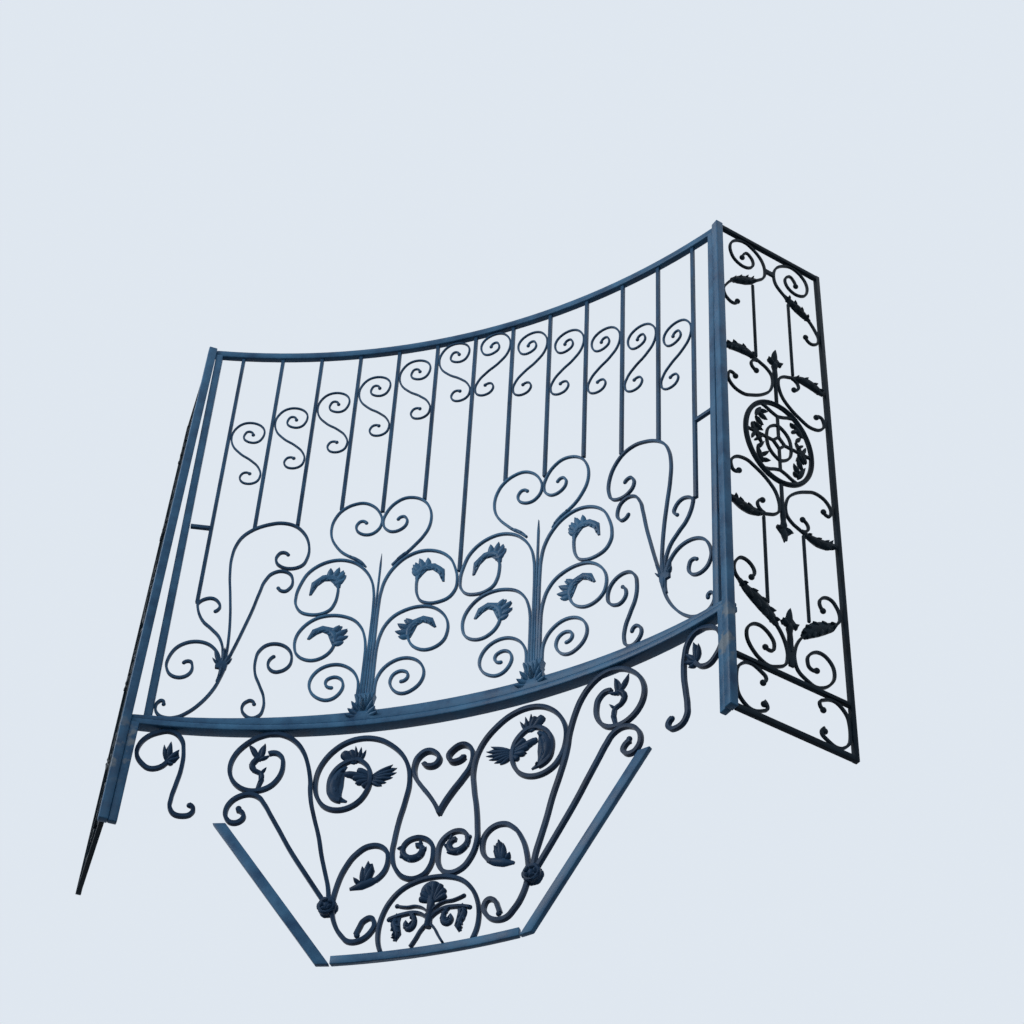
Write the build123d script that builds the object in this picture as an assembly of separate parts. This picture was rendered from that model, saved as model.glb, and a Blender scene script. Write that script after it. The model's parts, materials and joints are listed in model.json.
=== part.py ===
from build123d import *
import math
import os

# Forged window grille that projects from a facade: a front bowed inwards between two corner
# posts, splayed side panels back to the wall, and a lower band that drops into a V notch.
# Built with Z = 0 at the posts' feet and Y = 0 at the corner posts, then moved to its origin,
# the middle of the underside of the sill bar. X runs right and Y runs towards the building.

# Main sizes, in millimetres
half_front = 900.0
rail_underside = 1962.0
top_rail_height = 27.0
top_rail_depth = 22.0
notch_depth = 420.0
notch_half_top = 620.0
notch_half_bottom = 268.0
side_length = 422.0
side_angle = 51.5
fit_gap = 0.3

# Plan curves of the front: distance back at the posts, and how far the middle lies behind that
base_back = 42.0
base_bow = 238.0
top_back = 28.0
top_bow = 186.0
base_level = 396.0

# Handrail and the base rail of the upper panel, both slightly arched
handrail_under_end = 351.0
handrail_rise = 19.0
handrail_height = 20.0
handrail_depth = 40.0
base_rail_top_end = 384.0
base_rail_rise = 43.0
base_rail_depth = 36.0

# Bars
bar_pitch = 138.0
bars_each_side = 6
bar_size = 11.0
post_width = 26.0
post_depth = 28.0
post_near = 1.0
rear_width = 14.0
rear_depth = 16.0
side_rail_height = 16.0
side_rail_depth = 14.0
band_rail_height = 12.0
side_upright = 10.0
stile_width = 24.0
lower_stile_width = 26.0
lower_stile_depth = 20.0
lower_stile_near = 5.0
thin_bar = 8.0
thin_depth = 10.0
s_bar = 6.5
s_depth = 8.0
band_bar = 12.0
band_depth = 14.0
side_bar = 8.0
side_depth = 8.0
heart_depth = 20.0
leaf_depth = 6.0
slope_bar_width = 30.0
slope_bar_depth = 16.0
slope_bar_rise = 40.0
sill_height = 25.0
boss_radius = 24.0
boss_depth = 32.0
tree_centre = 266.0
crown_shift = 10.0

side_turn = math.radians(side_angle)
side_along = Vector(math.cos(side_turn), math.sin(side_turn), 0)
side_inward = Vector(-math.sin(side_turn), math.cos(side_turn), 0)
corner = Vector(half_front, 0, 0)
top_level = rail_underside + top_rail_height


def circle_radius(half_width, rise):
    return (half_width ** 2 + rise ** 2) / (2 * rise)


base_radius = circle_radius(half_front, base_bow)
top_radius = circle_radius(half_front, top_bow)


def on_arc(s, radius, back, bow):
    turn = s / radius
    return Vector(radius * math.sin(turn), back + bow - radius * (1 - math.cos(turn)), 0)


def base_point(s, z):
    """Point of the lower band, which stands upright on the base curve."""
    return on_arc(s, base_radius, base_back, base_bow) + Vector(0, 0, z)


def upper_point(s, z):
    """Point of the upper panel, ruled between the base curve and the top curve."""
    share = (z - base_level) / (rail_underside - base_level)
    low = on_arc(s, base_radius, base_back, base_bow)
    high = on_arc(s, top_radius, top_back, top_bow)
    return low * (1 - share) + high * share + Vector(0, 0, z)


class Sheet:
    """A flat working plane through two points of a curved panel, addressed by (s, z)."""

    def __init__(self, surface, s_from, s_to, z_from):
        start = surface(s_from, z_from)
        finish = surface(s_to, z_from)
        middle = (s_from + s_to) / 2
        slope = surface(middle, z_from + 100) - surface(middle, z_from)
        along = finish - start
        self.plane = Plane(origin=start, x_dir=along, z_dir=along.cross(slope))
        self.s_from = s_from
        self.z_from = z_from
        self.run = along.length / (s_to - s_from)
        self.climb = slope.length / 100

    def spot(self, point):
        return complex((point[0] - self.s_from) * self.run, (point[1] - self.z_from) * self.climb)


post_inner = post_near + post_width
rear_inner = side_length - rear_width
side_middle = (post_inner + rear_inner) / 2
pattern_width = 352.0
pattern_middle = post_inner + pattern_width / 2
stretch = (rear_inner - post_inner) / pattern_width


class SideSheet:
    """The upright plane of the right side panel: u from the corner post, then height."""

    plane = Plane(origin=corner, x_dir=side_along, z_dir=side_along.cross(Vector(0, 0, 1)))
    z_from = 0.0
    climb = 1.0

    def spot(self, point):
        return complex(point[0], point[1])


class SidePattern(SideSheet):
    """The same plane for the scrolls, whose stations stretch with the gap between the posts."""

    def spot(self, point):
        return complex(post_inner + (point[0] - post_inner) * stretch, point[1])


def as_pair(spot):
    return (spot.real, spot.imag)


def headings(spots):
    """Direction at each spot, that of the circle through it and its two neighbours."""
    steps = [b - a for a, b in zip(spots, spots[1:])]
    inner = []
    for before, after in zip(steps, steps[1:]):
        mixed = before / abs(before) * abs(after) + after / abs(after) * abs(before)
        inner.append(mixed / abs(mixed))
    first = steps[0] / abs(steps[0])
    last = steps[-1] / abs(steps[-1])
    if not inner:
        return [first, last]
    return [first ** 2 / inner[0]] + inner + [last ** 2 / inner[-1]]


def tangent_arcs(spots):
    """Pairs of tangent arcs through the spots, each as start, finish and starting direction."""
    ways = headings(spots)
    arcs = []
    for a, b, way_a, way_b in zip(spots, spots[1:], ways, ways[1:]):
        span = b - a
        both = way_a + way_b
        along = (span * both.conjugate()).real
        spread = 2 * (1 - (way_a * way_b.conjugate()).real)
        if spread < 1e-9:
            reach = abs(span) ** 2 / (2 * along)
        else:
            reach = (-along + math.sqrt(along ** 2 + spread * abs(span) ** 2)) / spread
        knee = (a + b + reach * (way_a - way_b)) / 2
        chord = (knee - a) / abs(knee - a)
        arcs.append((a, knee, way_a))
        arcs.append((knee, b, chord ** 2 / way_a))
    return arcs


def arc_edge(a, b, turn):
    if abs(turn) < 1e-3:
        return Edge.make_line(as_pair(a), as_pair(b))
    middle = (a + b) / 2 - 1j * (b - a) / 2 * math.tan(turn / 4)
    return Edge.make_three_point_arc(as_pair(a), as_pair(middle), as_pair(b))


def turn_of(a, b, way):
    chord = (b - a) / abs(b - a)
    ratio = chord / way
    return 2 * math.atan2(ratio.imag, ratio.real)


def bent_bar(sheet, points, width):
    """Face of a bar of constant width whose centre line runs smoothly through the points."""
    arcs = tangent_arcs([sheet.spot(p) for p in points])
    near_side = []
    far_side = []
    for a, b, way in arcs:
        turn = turn_of(a, b, way)
        way_out = ((b - a) / abs(b - a)) ** 2 / way
        shift_a = 1j * way * width / 2
        shift_b = 1j * way_out * width / 2
        near_side.append(arc_edge(a - shift_a, b - shift_b, turn))
        far_side.append(arc_edge(b + shift_b, a + shift_a, -turn))
        last = (b - shift_b, b + shift_b)
    first_way = arcs[0][2]
    start = (arcs[0][0] - 1j * first_way * width / 2, arcs[0][0] + 1j * first_way * width / 2)
    cap_end = Edge.make_line(as_pair(last[0]), as_pair(last[1]))
    cap_start = Edge.make_line(as_pair(start[1]), as_pair(start[0]))
    return Face(Wire(near_side + [cap_end] + far_side[::-1] + [cap_start]))


def outline(sheet, points):
    """Straight-sided face through the points."""
    return Face(Wire.make_polygon([as_pair(sheet.spot(p)) for p in points], close=True))


def leaf(sheet, base, tip, half_width):
    """Pointed oval leaf from base to tip."""
    a, b = sheet.spot(base), sheet.spot(tip)
    side = 1j * (b - a) / abs(b - a) * half_width
    middle = (a + b) / 2
    edges = [
        Edge.make_three_point_arc(as_pair(a), as_pair(middle - side), as_pair(b)),
        Edge.make_three_point_arc(as_pair(b), as_pair(middle + side), as_pair(a)),
    ]
    return Face(Wire(edges))


def curved_leaf(sheet, spine, half_widths):
    """Leaf plate whose half width changes along a bent spine."""
    spots = [sheet.spot(p) for p in spine]
    ways = headings(spots)
    near_side = [p - 1j * way * w for p, way, w in zip(spots, ways, half_widths)]
    far_side = [p + 1j * way * w for p, way, w in zip(spots, ways, half_widths)]
    return Face(Wire.make_polygon([as_pair(p) for p in near_side + far_side[::-1]], close=True))


def disc(sheet, centre, radius):
    spot = sheet.spot(centre)
    return Face(Wire(Edge.make_circle(radius, Plane(origin=as_pair(spot)))))


def forge(sheet, faces, depth):
    """Join the faces and give them their thickness, half to each side of the sheet."""
    joined = Sketch() + faces
    return (sheet.plane.location * extrude(joined, depth / 2, both=True)).solids()


def forge_leafy(sheet, bars, leaves, depth):
    """Bars of full depth joined with the thinner plates of their leaves."""
    body = Part() + forge(sheet, bars, depth) + forge(sheet, leaves, leaf_depth)
    return body.solids()


def top_within(sheet, faces, s_low, s_high):
    """Highest level that the faces reach between two stations."""
    x_low = sheet.spot((s_low, sheet.z_from)).real
    x_high = sheet.spot((s_high, sheet.z_from)).real
    strip = Pos((x_low + x_high) / 2, 0) * Rectangle(abs(x_high - x_low), 6000)
    highest = ((Sketch() + faces) & strip).bounding_box().max.Y
    return sheet.z_from + highest / sheet.climb


def flip(points, axis):
    return [(2 * axis - a, b) for a, b in points]


def turn_over(points, level):
    return [(a, 2 * level - b) for a, b in points]


def under_arch(level_end, rise):
    """Everything below an arch that spans the front, as one block."""
    reach = half_front + 200
    radius = circle_radius(half_front, rise)
    drop = radius - math.sqrt(radius ** 2 - reach ** 2)
    left = (-reach, level_end + rise - drop)
    right = (reach, level_end + rise - drop)
    arch = Edge.make_three_point_arc(left, (0, level_end + rise), right)
    sides = Wire.make_polygon([right, (reach, -1000), (-reach, -1000), left], close=False)
    face = Face(Wire([arch] + sides.edges()))
    return Plane.XZ.location * extrude(face, 600, both=True)


under_handrail = under_arch(handrail_under_end, handrail_rise)
under_base_rail = under_arch(handrail_under_end + handrail_height, handrail_rise)
under_panel = under_arch(base_rail_top_end, base_rail_rise)


def handrail_level(s):
    radius = circle_radius(half_front, handrail_rise)
    x = base_point(s, 0).X
    return handrail_under_end + handrail_rise - radius + math.sqrt(radius ** 2 - x ** 2)


def panel_level(s):
    radius = circle_radius(half_front, base_rail_rise)
    x = base_point(s, 0).X
    return base_rail_top_end + base_rail_rise - radius + math.sqrt(radius ** 2 - x ** 2)


def curved_band(radius, back, bow, depth, low, high):
    """Bar bent to a plan curve between the inner faces of the two corner posts."""
    centre_y = back + bow - radius
    ring = Circle(radius + depth / 2) - Circle(radius - depth / 2)
    face_at = corner + side_inward * (post_depth / 2)
    near = face_at - side_along * 150
    far = face_at + side_along * 500
    between = [(near.X, near.Y), (far.X, far.Y), (-far.X, far.Y), (-near.X, near.Y)]
    bay = Face(Wire.make_polygon(between, close=True))
    strip = (Pos(0, centre_y) * ring) & bay
    return Pos(0, 0, low) * extrude(strip, high - low)


saved = []
move_to_origin = Location((0, -(base_back + base_bow), notch_depth))


def save(name, solids):
    os.makedirs("parts", exist_ok=True)
    body = Compound(children=[Solid(s.wrapped) for s in solids])
    export_step(move_to_origin * body, f"parts/{name}.step")
    saved.append(name)


def save_pair(name, solids):
    """Write the right-hand piece and its mirror image on the left."""
    save(f"right_{name}", solids)
    save(f"left_{name}", [mirror(s, about=Plane.YZ) for s in solids])


def make_rails():
    low = handrail_under_end - 100
    high = base_rail_top_end + base_rail_rise + 50
    blank = curved_band(base_radius, base_back, base_bow, handrail_depth, low, high)
    handrail = (blank & under_base_rail) - under_handrail
    blank = curved_band(base_radius, base_back, base_bow, base_rail_depth, low, high)
    base_rail = (blank & under_panel) - under_base_rail
    top_rail = curved_band(top_radius, top_back, top_bow, top_rail_depth, rail_underside, top_level)
    save("handrail", handrail.solids())
    save("base_rail", base_rail.solids())
    save("top_rail", top_rail.solids())


def upright_between(sheet, u_low, u_high, low, high):
    return outline(sheet, [(u_low, low), (u_high, low), (u_high, high), (u_low, high)])


def box_on_side(u_low, u_high, depth, low, high):
    sheet = SideSheet()
    face = upright_between(sheet, u_low, u_high, low, high)
    return sheet.plane.location * extrude(face, depth / 2, both=True)


band_rail_level = 180.0
band_rail_top = band_rail_level + band_rail_height
medallion_level = 1087.0
medallion_half_height = 170.0
medallion_half_width = 128.0
stem_width = 12.0
side_rail_under = top_level - side_rail_height
side_bar_offset = 70.0


def make_side_frame():
    """Corner post at the front, and the rear post with the three rails that reach from it."""
    save_pair("corner_post", box_on_side(post_near, post_inner, post_depth, 0, top_level).solids())
    rail_start = post_inner + fit_gap
    frame = box_on_side(rear_inner, side_length, rear_depth, 0, top_level)
    frame += box_on_side(rail_start, rear_inner, side_rail_depth, side_rail_under, top_level)
    frame += box_on_side(rail_start, rear_inner, side_rail_depth, 0, side_rail_height)
    frame += box_on_side(rail_start, rear_inner, side_rail_depth, band_rail_level, band_rail_top)
    save_pair("side_frame", frame.solids())


def both_halves(sheet, points, width):
    return [bent_bar(sheet, points, width), bent_bar(sheet, flip(points, pattern_middle), width)]


def both_leaves(sheet, spine, half_widths):
    mirrored = flip(spine, pattern_middle)
    return [curved_leaf(sheet, points, half_widths) for points in (spine, mirrored)]


top_touch = side_rail_under - side_bar / 2 - 3 * fit_gap
post_touch = post_inner + (side_bar / 2 + 2 * fit_gap) / stretch
scroll_inner = 186.5
TOP_SCROLL = [
    (104, 1883), (112, 1907), (122, 1917), (135, 1908), (144, 1886), (139, 1861), (115, 1841),
    (80, 1850), (61, 1889), (66, 1932), (86, 1957), (113, top_touch), (150, 1952), (177, 1919),
    (scroll_inner, 1877), (180, 1836), (158, 1808), (130, 1786), (98, 1764), (66, 1741), (44, 1708),
    (post_touch, 1670), (44, 1638), (64, 1629), (80, 1648),
]
TOP_LEAF = [(60, 1739), (80, 1752), (104, 1769), (128, 1784), (152, 1803)]
TOP_LEAF_WIDTHS = (6, 13, 18, 15, 6)
CLIP_LEVELS = (1868, 1886)

# Arms about the medallion: distance from the panel's middle, then height
stem_reach = (stem_width / 2 + side_bar / 2 + 2 * fit_gap) / stretch
post_reach = pattern_middle - post_touch
ARM = [
    (140, 1288), (154, 1298), (166, 1276), (152, 1240), (118, 1227), (80, 1243), (44, 1271),
    (22, 1300), (12.4, 1330), (stem_reach, 1354), (13.5, 1378), (27, 1396), (52, 1410), (82, 1422),
    (112, 1427), (142, 1421), (post_reach, 1406),
]
ARM_CURL = [(60, 1411), (79, 1400), (82, 1378), (66, 1363)]
ARM_LEAF = [(66, 1415), (85, 1423), (110, 1427), (134, 1424), (152, 1417), (168, 1408)]
ARM_LEAF_WIDTHS = (6, 12, 16, 16, 13, 7)

base_touch = band_rail_top + side_bar / 2 + fit_gap
base_stem_half = 8.0
base_stem_touch = pattern_middle - (base_stem_half + side_bar / 2 - 2 * fit_gap) / stretch
BASE_SCROLL = [
    (90, 488), (100, 510), (88, 537), (64, 545), (42, 522), (36, 485), (60, 447), (100, 416),
    (140, 379), (172, 340), (188, 300), (base_stem_touch, 262), (182, 224), (158, 206),
    (132, base_touch), (106, 206), (85, 226), (68, 264), (75, 304), (105, 325), (138, 309),
    (152, 278), (143, 253), (124, 256),
]
BASE_LEAF = [(50, 460), (70, 438), (96, 421), (122, 401), (146, 377), (162, 354)]
BASE_LEAF_WIDTHS = (6, 14, 20, 22, 17, 8)
FOOT_CURL = [(112, 128), (122, 148), (104, 166)]
foot_curl_station = 74.0
BASE_STEM = [(-8, 230), (8, 230), (8, 300), (6, 380), (-6, 380), (-8, 300)]
SPADE = [
    (0, 0), (10, -30), (28, -50), (24, -62), (6, -56), (6, -70), (-6, -70), (-6, -56), (-24, -62),
    (-28, -50), (-10, -30),
]
base_spade_tip = 430.0
stem_spade_tip = 1494.0
spade_neck = 38.0


def spade(sheet, tip, way):
    """Spade-shaped finial that points up (1) or down (-1)."""
    return outline(sheet, [(side_middle + a, tip + way * b) for a, b in SPADE])


def make_side_ornament():
    panel = SideSheet()
    pattern = SidePattern()
    top_bars = both_halves(pattern, TOP_SCROLL, side_bar)
    top_leaves = both_leaves(pattern, TOP_LEAF, TOP_LEAF_WIDTHS)
    clip_low, clip_high = CLIP_LEVELS
    clip_far = 2 * pattern_middle - scroll_inner
    clip_sides = (scroll_inner, clip_far)
    clip = [(u, clip_low) for u in clip_sides] + [(u, clip_high) for u in clip_sides[::-1]]
    top_bars.append(outline(pattern, clip))
    save_pair("side_top_scrolls", forge_leafy(panel, top_bars, top_leaves, side_depth))

    def around(points):
        return [(pattern_middle - v, z) for v, z in points]

    arms = []
    arm_leaves = []
    for points in (around(ARM), around(ARM_CURL)):
        for half in (points, turn_over(points, medallion_level)):
            arms += both_halves(pattern, half, side_bar)
    for half in (around(ARM_LEAF), turn_over(around(ARM_LEAF), medallion_level)):
        arm_leaves += both_leaves(pattern, half, ARM_LEAF_WIDTHS)
    save_pair("side_arms", forge_leafy(panel, arms, arm_leaves, side_depth))
    arms += arm_leaves

    rim = Ellipse(medallion_half_width, medallion_half_height)
    rim -= Ellipse(medallion_half_width - rim_width, medallion_half_height - rim_width)
    rim = Pos(side_middle, medallion_level) * rim
    save_pair("side_medallion", forge(panel, [rim] + tracery(panel), side_depth))

    low_bars = both_halves(pattern, BASE_SCROLL, side_bar)
    low_leaves = both_leaves(pattern, BASE_LEAF, BASE_LEAF_WIDTHS)
    low_bars.append(outline(panel, [(side_middle + a, b) for a, b in BASE_STEM]))
    low_bars.append(spade(panel, base_spade_tip, 1))
    foot_low = side_rail_height + side_bar / 2 + fit_gap
    foot_high = band_rail_level - side_bar / 2 - fit_gap
    middle = (foot_low + foot_high) / 2
    half = FOOT_CURL + [(foot_curl_station, foot_high), (45, 156), (post_touch, middle)]
    foot = half + turn_over(half, middle)[-2::-1]
    feet = both_halves(pattern, foot, side_bar)
    base_scrolls = forge_leafy(panel, low_bars, low_leaves, side_depth)
    save_pair("side_base_scrolls", base_scrolls + forge(panel, feet, side_depth))

    stem_foot = medallion_level + medallion_half_height + fit_gap
    left, right = side_middle - stem_width / 2, side_middle + stem_width / 2
    neck = stem_spade_tip - spade_neck
    bars = [upright_between(panel, left, right, stem_foot, neck)]
    foot_neck = 2 * medallion_level - neck
    bars.append(upright_between(panel, left, right, foot_neck, 2 * medallion_level - stem_foot))
    bars.append(spade(panel, stem_spade_tip, 1))
    bars.append(spade(panel, 2 * medallion_level - stem_spade_tip, -1))
    for u in (side_middle - side_bar_offset, side_middle + side_bar_offset):
        low, high = u - side_upright / 2, u + side_upright / 2
        arm_top = top_within(panel, arms, low, high) + fit_gap
        scroll_low = bottom_within(panel, top_bars + top_leaves, low, high) - fit_gap
        bars.append(upright_between(panel, low, high, arm_top, scroll_low))
        base_top = top_within(panel, low_bars + low_leaves, low, high) + fit_gap
        arm_low = bottom_within(panel, arms, low, high) - fit_gap
        bars.append(upright_between(panel, low, high, base_top, arm_low))
    save_pair("side_bars", forge(panel, bars, side_upright))


rim_width = 15.0
tracery_bar = 8.0
OVAL = [(0, 74), (-31, 52), (-45, 0), (-31, -52), (0, -74)]
DIAMOND = [(0, 31), (27, 0), (0, -31), (-27, 0)]
diamond_hole = 0.58
spoke_start = 23.0
RIM_ARC = [(-62, 138), (-42, 132), (-20, 121), (0, 114)]
BARB_ROOT = (-86, 4)
BARB_TIPS = ((-99, 34), (-62, 40))
barb_half_width = 6.0


def tracery(sheet):
    """Pattern inside the medallion: an oval with a diamond, spokes, arcs and barbs."""
    def at(points):
        return [(side_middle + a, medallion_level + b) for a, b in points]

    hole = outline(sheet, at([(a * diamond_hole, b * diamond_hole) for a, b in DIAMOND]))
    faces = [outline(sheet, at(DIAMOND)) - hole]
    spoke_end = medallion_half_width - rim_width / 2
    stem_end = RIM_ARC[-1][1]
    for side in (1, -1):
        faces.append(bent_bar(sheet, at([(side * a, b) for a, b in OVAL]), tracery_bar))
        faces.append(bent_bar(sheet, at([(side * spoke_start, 0), (side * spoke_end, 0)]), tracery_bar))
        for way in (1, -1):
            arc = [(side * a, way * b) for a, b in RIM_ARC]
            faces.append(bent_bar(sheet, at(arc), tracery_bar))
            root = (side * BARB_ROOT[0], -way * BARB_ROOT[1])
            for a, b in BARB_TIPS:
                faces.append(leaf(sheet, *at([root, (side * a, way * b)]), barb_half_width))
    for way in (1, -1):
        faces.append(bent_bar(sheet, at([(0, way * spoke_start), (0, way * stem_end)]), tracery_bar))
    return faces


def bottom_within(sheet, faces, s_low, s_high):
    x_low = sheet.spot((s_low, sheet.z_from)).real
    x_high = sheet.spot((s_high, sheet.z_from)).real
    strip = Pos((x_low + x_high) / 2, 0) * Rectangle(abs(x_high - x_low), 6000)
    lowest = ((Sketch() + faces) & strip).bounding_box().min.Y
    return sheet.z_from + lowest / sheet.climb


stile_station = 907.0
stile_head_along = 15.0


def stile_slant():
    foot = upper_point(stile_station, base_level)
    foot_ahead = upper_point(stile_station + 1, base_level)
    return math.atan2(foot_ahead.Y - foot.Y, foot_ahead.X - foot.X)


def stile_reach():
    """Half size of the turned square stile, measured across the post's inner face."""
    turned = side_turn - stile_slant() - math.pi / 2
    return stile_width / 2 * (abs(math.cos(turned)) + abs(math.sin(turned)))


def stile_head():
    """Middle of the stile where it meets the top rail's underside, just off the post."""
    off_post = post_depth / 2 + stile_reach() + fit_gap
    return corner + side_along * stile_head_along + side_inward * off_post + Vector(0, 0, rail_underside)


def make_stiles():
    """Lower stile against the post, and the upper panel's stile, which meets it only at the top."""
    near, far = lower_stile_near, lower_stile_near + lower_stile_depth
    low_inner = post_depth / 2
    high_inner = low_inner + lower_stile_width
    spots = [corner + side_along * u + side_inward * n for u, n in
             ((near, low_inner), (far, low_inner), (far, high_inner), (near, high_inner))]
    section = Face(Wire.make_polygon([(p.X, p.Y) for p in spots], close=True))
    lower = extrude(section, handrail_under_end + 60) & under_handrail
    foot = upper_point(stile_station, base_level)
    lean = stile_head() - foot
    start_level = base_rail_top_end - 20
    start = foot + lean * ((start_level - foot.Z) / lean.Z)
    square = Pos(start) * Rot(0, 0, math.degrees(stile_slant())) * Rectangle(stile_width, stile_width)
    upper = Solid.extrude(square.face(), lean * ((rail_underside - start_level) / lean.Z)) - under_panel
    save_pair("lower_stile", lower.solids())
    save_pair("upper_stile", upper.solids())


def s_scroll_points():
    """Centre line of the scroll between two bars, about the middle of its large volute."""
    reach = bar_pitch / 2 - bar_size / 2 - s_bar / 2 - fit_gap
    points = []
    for angle, radius in ((540, 8), (450, 17), (360, 23), (270, 36), (180, 46), (90, 60)):
        turn = math.radians(angle - 15)
        points.append((-3 + radius * math.cos(turn), radius * math.sin(turn)))
    points += [(reach - 2, 10), (reach, -12), (50, -52), (20, -88), (-20, -118), (-47, -146)]
    points += [(-reach, -186), (-50, -214), (-27, -224), (-1, -214), (5, -190), (-8, -174), (-24, -178)]
    return points


def make_s_scrolls():
    scrolls = []
    for k in range(bars_each_side):
        station = (k + 0.5) * bar_pitch
        level = 1896 - 45 * k - 3.2 * k * k
        sheet = Sheet(upper_point, station - bar_pitch / 2, station + bar_pitch / 2, level)
        points = [(station + a, level + b) for a, b in s_scroll_points()]
        scrolls += forge(sheet, [bent_bar(sheet, points, s_bar)], s_depth)
    save_pair("s_scrolls", scrolls)


LOW_VOLUTE = [
    (25.8, 491), (25.8, 505), (25.8, 520), (30, 550), (54, 590), (108, 612), (160, 588),
    (177, 535), (155, 495), (108, 481),
    (80, 505), (73, 535), (85, 558), (108, 564), (127, 550), (124, 532), (108, 525),
]
MIDDLE_RING = [
    (17.2, 491), (17.2, 560), (17.2, 630), (18.5, 670), (24, 708), (38, 748), (64, 780),
    (100, 798), (140, 804),
    (185, 794), (220, 765), (239, 728), (241, 690), (230, 657), (205, 637), (174, 632), (146, 643),
    (126, 664), (117, 690),
]
UPPER_RING = [
    (8.6, 491), (8.6, 640), (8.6, 750), (8.6, 790), (9.4, 830), (12.2, 880), (23, 932), (47, 977),
    (86, 1013), (135, 1028),
    (185, 1018), (230, 982), (251, 935), (259.6, 892), (255.5, 850), (238, 824), (205, 811),
    (172, 812), (146, 826), (133, 852), (128, 885), (129, 915), (137, 938),
]
RING_LEAF = [(118, 686), (117, 712), (134, 742), (160, 752), (184, 741), (201, 714)]
UPPER_LEAF = [(129, 916), (134, 944), (154, 958), (180, 956), (206, 932), (215, 890)]
RING_LEAF_WIDTHS = (7, 17, 14, 12, 12, 4)
RING_FAN = [((118, 716), (80, 742)), ((116, 708), (78, 716)), ((128, 738), (98, 758))]
UPPER_FAN = [((134, 944), (118, 984)), ((138, 950), (140, 992)), ((131, 934), (108, 964))]
fan_half_width = 8.0
CROWN = [
    (122, 1060), (143, 1086), (160, 1118), (167, 1158), (161, 1200), (140, 1238), (104, 1262),
    (70, 1266), (38, 1250), (14, 1218), (4.3, 1180), (14, 1148), (38, 1130), (65, 1133),
    (84, 1152), (84, 1175), (70, 1188), (55, 1180),
]
CROWN_TAIL = {1: [(50, 1008), (74, 1027), (98, 1042)], -1: [(50, 988), (74, 1013), (98, 1034)]}


SPIKE = [(-3.2, 480), (3.2, 480), (3.2, 1000), (0, 1046), (-3.2, 1000)]
COLLAR = [
    (-36, 400), (36, 400), (35, 440), (25, 462), (32, 490), (-32, 490), (-25, 462), (-35, 440),
]
collar_depth = 28.0


def make_trees():
    """Bundle of bars on a leafy collar, opening into three scrolls each side, with a crown pair."""
    ring_reach = tree_centre - thin_bar / 2 - 2 * fit_gap
    scrolls = []
    crowns = []
    for way in (1, -1):
        sheet = Sheet(upper_point, tree_centre, tree_centre + way * tree_centre, 500)

        def beside(points):
            return [(tree_centre + way * t, z) for t, z in points]

        volute = bent_bar(sheet, beside(LOW_VOLUTE), thin_bar)
        ring = bent_bar(sheet, beside(MIDDLE_RING), thin_bar)
        leaves_low = [curved_leaf(sheet, beside(RING_LEAF), RING_LEAF_WIDTHS)]
        leaves_low += [leaf(sheet, *beside(ends), fan_half_width) for ends in RING_FAN]
        high = [(min(t, ring_reach), z) for t, z in UPPER_RING]
        upper = bent_bar(sheet, beside(high), thin_bar)
        leaves_high = [curved_leaf(sheet, beside(UPPER_LEAF), RING_LEAF_WIDTHS)]
        leaves_high += [leaf(sheet, *beside(ends), fan_half_width) for ends in UPPER_FAN]
        curve = CROWN_TAIL[way] + CROWN
        c_points = [(tree_centre + crown_shift + way * t, z) for t, z in curve]
        crown = bent_bar(sheet, c_points, thin_bar)
        scrolls += forge(sheet, [volute], thin_depth)
        scrolls += forge_leafy(sheet, [ring], leaves_low, thin_depth)
        scrolls += forge_leafy(sheet, [upper], leaves_high, thin_depth)
        crowns += forge(sheet, [crown], thin_depth)
    save_pair("tree_scrolls", scrolls)
    save_pair("crown_scrolls", crowns)
    sheet = Sheet(upper_point, tree_centre - 60, tree_centre + 60, 500)
    stem = forge(sheet, [outline(sheet, [(tree_centre + a, b) for a, b in SPIKE])], thin_depth)
    cup = forge(sheet, [outline(sheet, [(tree_centre + a, b) for a, b in COLLAR])], collar_depth)
    whole = (cup[0] + stem[0]) - under_panel
    save_pair("tree_stem", whole.solids())
    return list(scrolls) + list(crowns)


small_s_touch = panel_level(600) + thin_bar / 2 + 2 * fit_gap
strand_touch = panel_level(846) + thin_bar / 2 + 2 * fit_gap
TEARDROP = [
    (711, 600), (709, 650), (712, 720), (720, 800), (732, 880), (745, 960), (750, 1030), (745, 1080),
    (728, 1125), (695, 1160), (655, 1182), (612, 1193), (568, 1184), (533, 1152), (513, 1105),
    (511, 1055), (525, 1018), (555, 1003), (585, 1006), (606, 1024), (608, 1050), (592, 1068),
    (574, 1060),
]
INNER_STRAND = [
    (866, 446), (874, 459), (884, 452), (888.1, 430), (876, 407),
    (846, strand_touch), (818, 402),
    (788, 423), (755, 462), (728, 512), (711, 570), (700, 630), (685, 690), (670, 755), (655, 825),
    (643, 895), (632, 946), (612, 979), (585, 990), (560, 982), (546, 955), (549, 925), (568, 908),
    (587, 920),
]
SIDE_SPIRAL = [
    (722, 540), (722, 610), (738, 652), (775, 684), (812, 689), (855, 670), (880, 625), (881, 583),
    (862, 555), (833, 549), (809, 565), (804, 592), (816, 612), (832, 606),
]
END_SCROLL = [
    (828, 846), (818, 802), (800, 770), (770, 742), (742, 712), (727, 680), (720, 645), (717, 600),
]
END_CURL = [(827, 838), (808, 858), (785, 863), (765, 850), (757, 828), (768, 812)]
SMALL_S = [
    (599, 465), (609, 477), (625, 470), (633, 446), (622, 424),
    (600, small_s_touch), (578, 425), (570, 455),
    (574, 490), (594, 538), (611, 575), (618, 625), (612, 665), (592, 690), (556, 697), (524, 680),
    (510, 648), (516, 612), (536, 594), (555, 590), (573, 602), (577, 630), (565, 648),
]


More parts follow.
